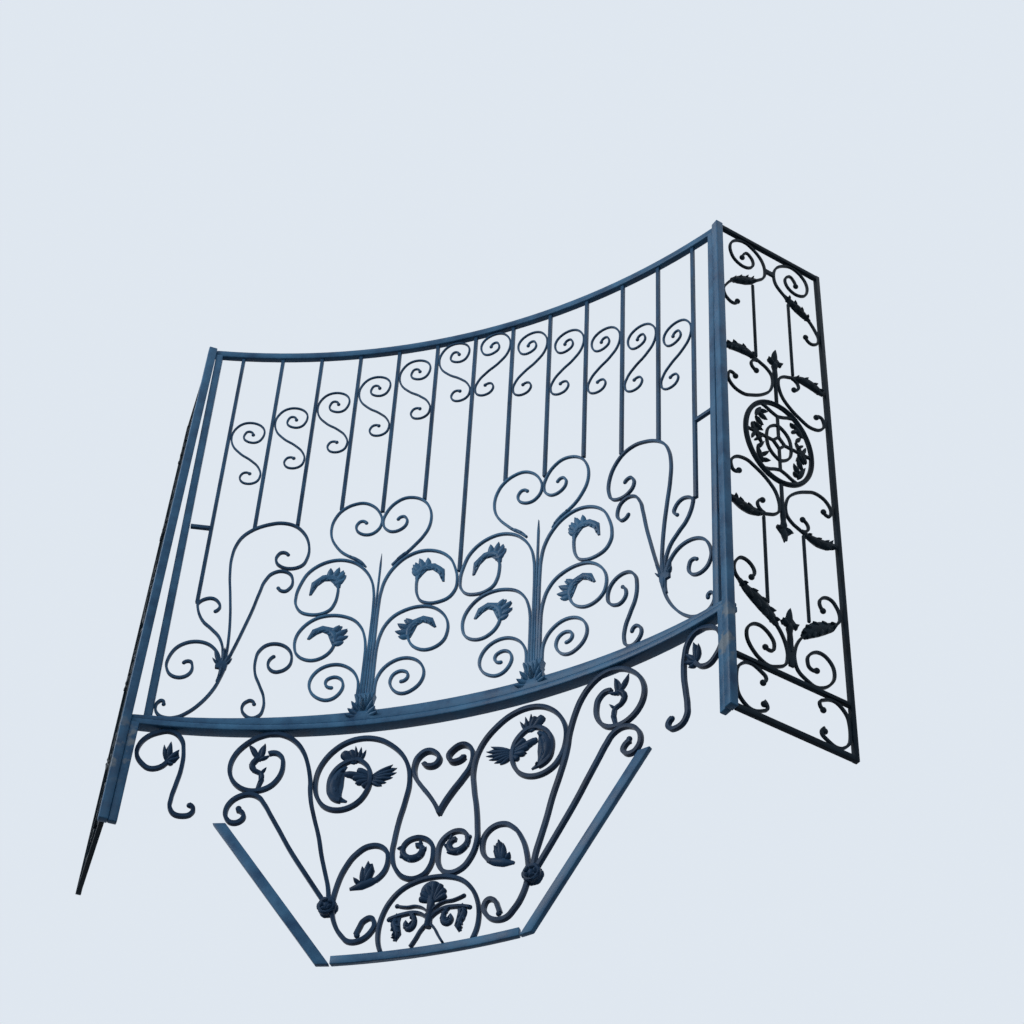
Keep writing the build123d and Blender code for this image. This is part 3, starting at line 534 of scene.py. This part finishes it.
def paint_of(node):
    if node.endswith(BLACK_NODES):
        return black
    if node.endswith(NAVY_NODES):
        return navy
    return slate if node.endswith(SLATE_NODES) else blue


# Bars and scrolls: how far each kind of node is rounded, and in how many steps

EDGES = {
    "handrail": (0.003, 2), "base_rail": (0.003, 2), "top_rail": (0.003, 2), "corner_post": (0.003, 2),
    "side_frame": (0.0025, 2), "stile": (0.003, 2), "front_bars": (0.0025, 2), "notch_frame": (0.002, 2),
    "tree_stem": (0.0026, 3), "s_scrolls": (0.0028, 3), "lyre_scrolls": (0.0030, 3),
    "tree_scrolls": (0.0034, 3), "crown_scrolls": (0.0032, 3), "side_medallion": (0.0030, 3),
}
OTHER_EDGES = (0.0042, 3)


def dressed(node, edge, segments):
    """A copy of a CAD node with its facets cleaned and its edges rounded like forged bar."""
    pick(nodes[node])
    bpy.ops.object.duplicate()
    piece = bpy.context.active_object
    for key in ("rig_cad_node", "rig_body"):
        if key in piece:
            del piece[key]
    edit(piece)
    bpy.ops.mesh.remove_doubles(threshold=merge_distance)
    bpy.ops.mesh.dissolve_limited(angle_limit=flat_angle)
    leave_edit()
    bevel = piece.modifiers.new("edges", "BEVEL")
    bevel.width = edge
    bevel.segments = segments
    bevel.limit_method = "ANGLE"
    bevel.angle_limit = sharp_angle
    bevel.use_clamp_overlap = True
    pick(piece)
    bpy.ops.object.modifier_apply(modifier=bevel.name)
    finished(piece, f"{node}_iron", paint_of(node))
    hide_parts(node)


for node in sorted(nodes):
    dressed(node, *next((edge for name, edge in EDGES.items() if node.endswith(name)), OTHER_EDGES))


# Leaves, flowers and knobs, drawn in millimetres for the right-hand half. A petal's row has its base, its tip
# and its width.

thin_knob = 0.0065
palm_knob = 0.007
band_knob = 0.0085
sprig_knob = 0.009
side_knob = 0.0095
rose_knob = 0.0135

RING_LEAF = [(118, 686), (117, 712), (134, 742), (160, 752), (184, 741), (201, 714)]
UPPER_LEAF = [(129, 916), (134, 944), (154, 958), (180, 956), (206, 932), (215, 890)]
RING_LEAF_WIDTHS = (6, 12, 11, 10, 9, 3)
RING_FAN = [
    ((122, 690), (86, 694)), ((122, 704), (74, 716)), ((126, 718), (80, 744)), ((134, 732), (106, 760)),
]
UPPER_FAN = [
    ((144, 926), (110, 944)), ((144, 938), (112, 972)), ((150, 946), (132, 994)), ((160, 950), (160, 992)),
]
LOW_VOLUTE_END = (108, 525)
CROWN_END = (55, 1180)
CROWN_TAIL = {
    1: [(38, 994), (56, 1014), (78, 1031), (104, 1046)],
    -1: [(58, 1001), (74, 1015), (90, 1028), (108, 1041)],
}
CROWN_TAIL_WIDTHS = (3, 6, 6, 3)


def tree_leaves():
    """The cast leaf in the two upper rings on both sides of a tree, and the crown's tails."""
    leaves = []
    crowns = []
    for way in (1, -1):
        sheet = Sheet(upper_point, tree_centre, tree_centre + way * tree_centre, z_from=0.5)

        def beside(points, shift=0.0):
            return [(METRE * (tree_centre + shift) + way * t, z) for t, z in points]

        lobed = {"left": 0.0, "right": 0.95} if way == 1 else {"left": 0.95, "right": 0.0}
        for spine, fan in ((RING_LEAF, RING_FAN), (UPPER_LEAF, UPPER_FAN)):
            leaves += acanthus(sheet, beside(spine), RING_LEAF_WIDTHS, lobes=8, thick=0.014, **lobed)
            for ends in fan:
                base, tip = (sheet.spot(p) for p in beside(ends))
                leaves.append(petal(sheet, base, tip, width=0.024, thick=0.013))
        leaves.append(knob(sheet, beside([LOW_VOLUTE_END])[0], thin_knob))
        crowns.append(knob(sheet, beside([CROWN_END], crown_shift)[0], thin_knob))
        tail = beside(CROWN_TAIL[way], crown_shift)
        crowns += acanthus(sheet, tail, CROWN_TAIL_WIDTHS, lobes=3, thick=0.013, lean=18)
    return joined(leaves), joined(crowns)


COLLAR = [
    ((-8, 410), (-44, 430), 20), ((-10, 422), (-34, 456), 17), ((-8, 434), (-22, 484), 15),
    ((-2, 420), (-8, 478), 16), ((0, 414), (0, 466), 22), ((-12, 406), (-52, 410), 16),
]
collar_half = 0.06
collar_base_lift = 0.008
collar_tip_lift = 0.020


def tree_collar():
    """Cluster of small leaves that curl out of the foot of the bundle, on both of its faces."""
    sheet = Sheet(upper_point, tree_centre - collar_half, tree_centre + collar_half, z_from=0.5)
    centre = METRE * tree_centre
    pieces = []
    for way in (1, -1):
        for face in (1, -1):
            for (x, z), (x_tip, z_tip), width in COLLAR:
                base = sheet.spot((centre + way * x, z), face * collar_base_lift)
                tip = sheet.spot((centre + way * x_tip, z_tip), face * collar_tip_lift)
                pieces.append(petal(sheet, base, tip, width * MILLIMETRE, thick=0.016, hint=(0, 0, face)))
    return joined(pieces)


# Each S scroll hangs lower than the one nearer to the middle, by a drop that grows a little
s_level = 1896
s_drop = 45
s_drop_growth = 3.2
s_volute_aside = -3
s_volute_radius = 8
s_volute_turn = math.radians(525)
S_SCROLL_ENDS = [
    (s_volute_aside + s_volute_radius * math.cos(s_volute_turn), s_volute_radius * math.sin(s_volute_turn)),
    (-24, -178),
]


def s_scroll_knobs():
    pieces = []
    for k in range(bars_each_side):
        station = METRE * (k + 0.5) * bar_pitch
        level = s_level - s_drop * k - s_drop_growth * k * k
        sheet = Sheet(upper_point, k * bar_pitch, (k + 1) * bar_pitch, z_from=level * MILLIMETRE)
        pieces += [knob(sheet, (station + x, level + z), thin_knob) for x, z in S_SCROLL_ENDS]
    return joined(pieces)


LYRE_ENDS = [(574, 1060), (587, 920), (832, 606), (768, 812), (565, 648), (866, 446), (599, 465)]
LYRE_LEAVES = [
    ((712, 604), (690, 660), 14), ((716, 604), (716, 668), 14), ((722, 604), (746, 656), 14),
    ((716, 608), (716, 560), 14), ((708, 604), (688, 628), 10), ((726, 604), (748, 626), 10),
]


def lyre_details():
    """Knobs on the scroll ends and the small leaves round the clip that holds the strands."""
    sheet = Sheet(upper_point, 0.510, 0.890, z_from=0.600)
    pieces = [knob(sheet, end, thin_knob) for end in LYRE_ENDS]
    pieces += petals(sheet, LYRE_LEAVES, thick=0.016)
    return joined(pieces)


INNER_LEAF = [(280, 104), (306, 118), (322, 144), (324, 178), (312, 208), (294, 230)]
INNER_LEAF_WIDTHS = (4, 11, 17, 18, 13, 5)
CROWN_LEAF = [((258, 240), (238, 278), 12), ((262, 242), (254, 290), 13), ((267, 244), (272, 296), 13)]
CROWN_LOBES = [((268, 236), (310, 280), 34), ((264, 236), (286, 284), 24)]
WING = [
    ((216, 186), (150, 214), 17), ((214, 184), (136, 200), 16), ((214, 180), (136, 184), 16),
    ((214, 176), (146, 168), 16), ((216, 172), (164, 152), 15), ((218, 170), (184, 142), 14),
]
FLOWER_LOBES = [
    ((212, 186), (258, 212), 24), ((212, 184), (296, 202), 26), ((212, 178), (270, 184), 22),
    ((214, 174), (258, 164), 22), ((214, 172), (238, 148), 20),
]
VOLUTE_CURL = [(92, -64), (96, -86), (84, -105), (62, -111), (43, -98), (42, -78), (56, -70)]
VOLUTE_CURL_WIDTHS = (7, 9, 11, 12, 11, 9, 6)
curl_teeth = 6
tooth_lean = 60
tooth_reach = 0.019
tooth_root = 0.004


def big_scroll_leaves():
    """Leaves and flower in the big scroll, with the toothed curl of its lower volute."""
    sheet = Sheet(base_point, 0.005, 0.381)
    pieces = acanthus(
        sheet, INNER_LEAF, INNER_LEAF_WIDTHS, lobes=4, thick=0.022, left=0.6, right=0.0, lean=30)
    pieces += petals(sheet, CROWN_LEAF + WING, thick=0.016)
    pieces += petals(sheet, CROWN_LOBES + FLOWER_LOBES, thick=0.020, blank=blank_lobe)
    pieces.append(bent_leaf(sheet, VOLUTE_CURL, VOLUTE_CURL_WIDTHS, thick=0.022))
    spots = [sheet.spot(p) for p in VOLUTE_CURL]
    for k in range(curl_teeth):
        spot, way = along_spine(spots, (k + 0.4) / curl_teeth)
        tip = spot + turned(way, tooth_lean) * tooth_reach
        pieces.append(petal(sheet, spot - way * tooth_root, tip, width=0.015, thick=0.018))
    return joined(pieces)


CALYX_LEAF = [(158, -158), (182, -169), (208, -178), (240, -188)]
CALYX_LEAF_WIDTHS = (7, 13, 14, 4)
BUD_PETALS = [
    ((202, -178), (192, -106), 26), ((200, -176), (180, -122), 22), ((204, -178), (208, -122), 22),
    ((212, -174), (230, -156), 16),
]
C_SCROLL_END = (203, -335)
ROSE_CENTRE = (297, -238)
# The rose's outer and inner ring: how far the petals reach out and forward, their number and their width
ROSE_RINGS = ((0.027, 0.008, 6, 0.026), (0.018, 0.018, 5, 0.019))
rose_root = 0.006
rose_root_lift = 0.010
rose_swirl = 40
rose_knob_lift = 0.008


def bud_and_rose():
    """Opening bud on the C scroll and the rose where four bars meet, which shows on both faces."""
    sheet = Sheet(base_point, 0.139, ROSE_CENTRE[0] * MILLIMETRE)
    pieces = [bent_leaf(sheet, CALYX_LEAF, CALYX_LEAF_WIDTHS, thick=0.020)]
    pieces += petals(sheet, BUD_PETALS, thick=0.024)
    pieces.append(knob(sheet, C_SCROLL_END, band_knob))
    centre = sheet.spot(ROSE_CENTRE)
    for face in (1, -1):
        for reach, rise, count, width in ROSE_RINGS:
            for k in range(count):
                way = turned(Vector((1, 0, 0)), 360 * k / count + rose_swirl * reach)
                base = centre + way * rose_root + Vector((0, 0, face * rose_root_lift))
                tip = centre + way * reach + Vector((0, 0, face * rise))
                pieces.append(
                    petal(sheet, base, tip, width, thick=0.013, hint=(0, 0, face), blank=blank_lobe))
    pieces.append(knob(sheet, ROSE_CENTRE, rose_knob, rose_knob_lift))
    pieces.append(knob(sheet, ROSE_CENTRE, rose_knob, -rose_knob_lift))
    return joined(pieces)


SPRIG = [(548, 160), (541, 190), (545, 214), (566, 225), (576, 245), (566, 264), (550, 274)]
SPRIG_WIDTHS = (6, 7, 7, 8, 9, 9, 6)
SPRIG_PETALS = [
    ((552, 256), (594, 316), 18), ((554, 258), (546, 318), 18), ((560, 262), (526, 274), 14),
    ((550, 210), (530, 232), 11), ((550, 176), (538, 198), 12),
]
SPRIG_END = (593, 92)
FOOT_LEAVES = [
    ((824, 240), (822, 306), 20), ((828, 242), (840, 292), 15), ((826, 240), (794, 280), 20),
    ((826, 238), (788, 254), 16), ((824, 236), (802, 228), 13),
]
FOOT_SCROLL_END = (735, 96)


def ring_sprig():
    """Sprig in the leaf ring beside the rose."""
    sheet = Sheet(base_point, ROSE_CENTRE[0] * MILLIMETRE, 0.640)
    pieces = [bent_leaf(sheet, SPRIG, SPRIG_WIDTHS, thick=0.017)]
    pieces += petals(sheet, SPRIG_PETALS, thick=0.016)
    pieces.append(knob(sheet, SPRIG_END, sprig_knob))
    return joined(pieces)


def foot_leaf():
    """Leaf and knob of the scroll under the base rail's end."""
    sheet = Sheet(base_point, 0.720, 0.925)
    pieces = petals(sheet, FOOT_LEAVES, thick=0.020)
    pieces.append(knob(sheet, FOOT_SCROLL_END, band_knob))
    return joined(pieces)


SHELL_ROOT = (8, -262)
shell_rays = 7
shell_spread = 70
shell_reach = 0.062
shell_shortening = 0.020
PALM_LEAF = [(96, -292), (100, -312), (92, -332), (88, -350), (96, -366)]
PALM_LEAF_WIDTHS = (6, 10, 10, 8, 3)
PALM_INNER = [(54, -288), (43, -306), (43, -326), (55, -336), (66, -326)]
PALM_INNER_WIDTHS = (5, 8, 9, 9, 6)
PALM_TRUNK = [(0, -340), (1, -326), (4, -300), (8, -258)]
PALM_TRUNK_WIDTHS = (9, 9, 8, 6)
PALM_TIPS = [(96, -258), (116, -297), (-96, -258), (-116, -297)]
HEART_END = (60, 212)


def palmette_flower():
    """Shell-shaped flower, hanging leaves and rounded tips of the palmette, over both halves."""
    sheet = Sheet(base_point, -0.150, 0.150)
    root = sheet.spot(SHELL_ROOT)
    pieces = []
    for k in range(shell_rays):
        spread = shell_spread * (2 * k / (shell_rays - 1) - 1)
        reach = shell_reach - shell_shortening * abs(spread) / shell_spread
        tip = root + turned(Vector((0, 1, 0)), spread) * reach
        pieces.append(petal(sheet, root, tip, width=0.021, thick=0.020, blank=blank_lobe))
    pieces.append(bent_leaf(sheet, PALM_TRUNK, PALM_TRUNK_WIDTHS, thick=0.022))
    for way in (1, -1):
        size = {"left": 1.1, "right": 0.8} if way == 1 else {"left": 0.8, "right": 1.1}
        for spine, widths in ((PALM_LEAF, PALM_LEAF_WIDTHS), (PALM_INNER, PALM_INNER_WIDTHS)):
            points = [(way * x, z) for x, z in spine]
            pieces += acanthus(sheet, points, widths, lobes=4, thick=0.017, **size)
    pieces += [knob(sheet, tip, palm_knob) for tip in PALM_TIPS]
    return joined(pieces)


def heart_knobs():
    sheet = Sheet(base_point, -0.100, 0.100)
    return joined([knob(sheet, (way * HEART_END[0], HEART_END[1]), band_knob) for way in (1, -1)])


ARM_LEAF = [(66, 1415), (85, 1423), (110, 1427), (134, 1424), (152, 1417), (168, 1408)]
ARM_LEAF_WIDTHS = (6, 12, 16, 16, 14, 8)
BASE_LEAF = [(50, 460), (70, 438), (96, 421), (122, 401), (146, 377), (162, 354)]
BASE_LEAF_WIDTHS = (6, 14, 20, 21, 16, 7)
TOP_LEAF = [(60, 1739), (80, 1752), (104, 1769), (128, 1784), (152, 1803)]
TOP_LEAF_WIDTHS = (6, 12, 15, 12, 6)
SIDE_ENDS = [(104, 1883), (80, 1648), (90, 488), (124, 256), (112, 128), (112, 57)]
ARM_ENDS = [(140, 1288), (66, 1363)]
# The spades' tips with the way they point, and their petals and neck below the tip
spade_level = 1494
SPADE_TIPS = [(spade_level, 1), (2 * METRE * medallion_level - spade_level, -1), (430, 1)]
SPADE_PETALS = ((0, 0, 26), (26, -46, 18), (-26, -46, 18))
spade_root = 62
SPADE_NECK = (48, 66, 86, 110, 150)
SPADE_NECK_WIDTHS = (6, 11, 8, 9, 6)


def side_ornaments():
    """Leaves, spade petals and knobs of the right-hand side panel."""
    sheet = Sheet(pattern_point, 0.0, 0.4)
    middle = METRE * (post_inner + pattern_width / 2)
    level = METRE * medallion_level
    lobed = {"left": 0.85, "right": 0.85}
    pieces = []
    for way in (1, -1):
        for spine, widths, lobes in ((BASE_LEAF, BASE_LEAF_WIDTHS, 5), (TOP_LEAF, TOP_LEAF_WIDTHS, 4)):
            points = [(u if way == 1 else 2 * middle - u, z) for u, z in spine]
            pieces += acanthus(sheet, points, widths, lobes, thick=0.024, **lobed)
        for over in (1, -1):
            points = [(middle - way * v, level + over * (z - level)) for v, z in ARM_LEAF]
            pieces += acanthus(sheet, points, ARM_LEAF_WIDTHS, lobes=4, thick=0.022, **lobed)
            for v, z in ARM_ENDS:
                pieces.append(knob(sheet, (middle - way * v, level + over * (z - level)), side_knob))
    for u, z in SIDE_ENDS:
        pieces += [knob(sheet, (place, z), side_knob) for place in (u, 2 * middle - u)]
    for tip, way in SPADE_TIPS:
        root = (middle, tip - way * spade_root)
        rows = [(root, (middle + x, tip + way * z), width) for x, z, width in SPADE_PETALS]
        pieces += petals(sheet, rows, thick=0.020)
        neck = [(middle, tip - way * fall) for fall in SPADE_NECK]
        pieces.append(bent_leaf(sheet, neck, SPADE_NECK_WIDTHS, thick=0.022))
    return joined(pieces)


# Petals of one corner of the medallion, from its middle
MEDALLION_CORNER = [
    ((-62, 118), (-88, 62), 20), ((-74, 96), (-44, 66), 16), ((-84, 70), (-60, 34), 16),
    ((-70, 104), (-40, 104), 14), ((-92, 40), (-62, 10), 12),
]
bead_spots = 25
bead_inset = 0.006
bead_lift = 0.005
bead_radius = 0.004


def medallion_foliage():
    """Leafy corners of the medallion and the raised bead on both faces of its rim."""
    sheet = Sheet(side_point, 0.0, 0.4)
    middle, level = METRE * (post_inner + rear_inner) / 2, METRE * medallion_level
    pieces = []
    for x_way in (1, -1):
        for z_way in (1, -1):
            for base, tip, width in MEDALLION_CORNER:
                ends = [(middle + x_way * x, level + z_way * z) for x, z in (base, tip)]
                pieces += petals(sheet, [(*ends, width)], thick=0.018)
    for face in (1, -1):
        spots = []
        for k in range(bead_spots):
            turn = math.radians(360 * k / (bead_spots - 1))
            across = METRE * (rim_half_width - bead_inset) * math.sin(turn)
            up = METRE * (rim_height - bead_inset) * math.cos(turn)
            spots.append(sheet.spot((middle + across, level + up), face * bead_lift))
        pieces.append(bent_body(sheet, spots, [bead_radius] * bead_spots, thick=0.006))
    return joined(pieces)


right_leaves, right_crowns = tree_leaves()
RIGHT_PIECES = {
    "tree_leaves": (right_leaves, blue), "crown_tails": (right_crowns, blue),
    "tree_collar": (tree_collar(), blue),
    "s_scroll_knobs": (s_scroll_knobs(), slate), "lyre_leaves": (lyre_details(), slate),
    "big_scroll_leaves": (big_scroll_leaves(), navy), "bud_and_rose": (bud_and_rose(), navy),
    "ring_sprig": (ring_sprig(), navy), "foot_leaf": (foot_leaf(), navy),
    "side_leaves": (side_ornaments(), black), "medallion_foliage": (medallion_foliage(), black),
}
for name, (piece, material) in RIGHT_PIECES.items():
    twin = mirrored(piece)
    finished(piece, f"right_{name}", material)
    finished(twin, f"left_{name}", material)
finished(palmette_flower(), "palmette_flower", navy)
finished(heart_knobs(), "heart_knobs", navy)
for blank in (blank_petal, blank_lobe, blank_knob):
    bpy.data.objects.remove(blank)


# Camera, light and floor. The camera stands in the street below the window, as in the photo.

CAMERA_SPOT = (1.9121, -4.1822, -2.8008)
CAMERA_TURN = (134.021, -3.004, 19.935)
focal_length = 70.56
sensor_width = 36
floor_level = -4.4
floor_size = 60
grille_middle = Vector((0, 0, 1.2))
sky_strength = 0.9
horizon_until, zenith_from = 0.35, 0.8
HORIZON_COLOUR = (0.05, 0.05, 0.055)
ZENITH_COLOUR = (0.80, 0.88, 1.0)
SEEN_SKY = (0.74, 0.80, 0.87, 1)
SEEN_FLOOR = (0.80, 0.80, 0.81, 1)
LIGHTING_FLOOR = (0.07, 0.07, 0.07, 1)


def place_camera():
    bpy.ops.object.camera_add(location=CAMERA_SPOT)
    camera = bpy.context.active_object
    camera.rotation_euler = [math.radians(a) for a in CAMERA_TURN]
    camera.data.lens = focal_length
    camera.data.sensor_width = sensor_width
    camera.data.clip_end = 200
    bpy.context.scene.camera = camera


def area_light(name, spot, size, power, colour):
    bpy.ops.object.light_add(type="AREA", location=spot)
    lamp = bpy.context.active_object
    lamp.name = name
    lamp.data.shape = "DISK"
    lamp.data.size = size
    lamp.data.energy = power
    lamp.data.color = colour
    lamp.rotation_euler = (grille_middle - Vector(spot)).to_track_quat("-Z", "Y").to_euler()


def seen_directly(tree):
    """1 for what the camera sees directly, in a reflection or through glass; 0 for light on the object."""
    rays = tree.nodes.new("ShaderNodeLightPath").outputs
    either = worked(tree, "MAXIMUM", rays["Is Camera Ray"], rays["Is Glossy Ray"])
    return worked(tree, "MAXIMUM", either, rays["Is Transmission Ray"])


def sky():
    """Soft sky that is brighter overhead than near the ground; the camera sees a plain pale colour."""
    world = bpy.data.worlds.new("sky")
    bpy.context.scene.world = world
    world.use_nodes = True
    tree = world.node_tree
    lit = tree.nodes["Background"]
    place = tree.nodes.new("ShaderNodeTexCoord")
    height = ramp_of(tree, axes_of(tree, place.outputs["Generated"])["Z"], -1, 1)
    shade = two_shades(tree, height, horizon_until, HORIZON_COLOUR, zenith_from, ZENITH_COLOUR)
    tree.links.new(shade, lit.inputs["Color"])
    lit.inputs["Strength"].default_value = sky_strength
    seen = tree.nodes.new("ShaderNodeBackground")
    seen.inputs["Color"].default_value = SEEN_SKY
    choose = tree.nodes.new("ShaderNodeMixShader")
    tree.links.new(seen_directly(tree), choose.inputs["Fac"])
    tree.links.new(lit.outputs["Background"], choose.inputs[1])
    tree.links.new(seen.outputs["Background"], choose.inputs[2])
    tree.links.new(choose.outputs["Shader"], tree.nodes["World Output"].inputs["Surface"])


def stage():
    """Pale floor that throws little light on the undersides, the sky and two soft lamps."""
    bpy.ops.mesh.primitive_plane_add(size=floor_size, location=(0, 0, floor_level))
    floor = bpy.context.active_object
    floor.name = "floor"
    plain = bpy.data.materials.new("floor")
    plain.use_nodes = True
    tree = plain.node_tree
    shader = tree.nodes["Principled BSDF"]
    tone = mixed(tree, seen_directly(tree), LIGHTING_FLOOR, SEEN_FLOOR)
    tree.links.new(tone, shader.inputs["Base Color"])
    shader.inputs["Roughness"].default_value = 0.9
    floor.data.materials.append(plain)
    sky()
    area_light("sky_left", spot=(-6, -6, 5), size=6, power=520, colour=(0.95, 0.98, 1.0))
    area_light("street", spot=(4, -7, 1.5), size=5, power=100, colour=(1.0, 0.98, 0.95))


place_camera()
stage()
bpy.context.scene.view_settings.view_transform = "Standard"
bpy.context.scene.view_settings.look = "None"
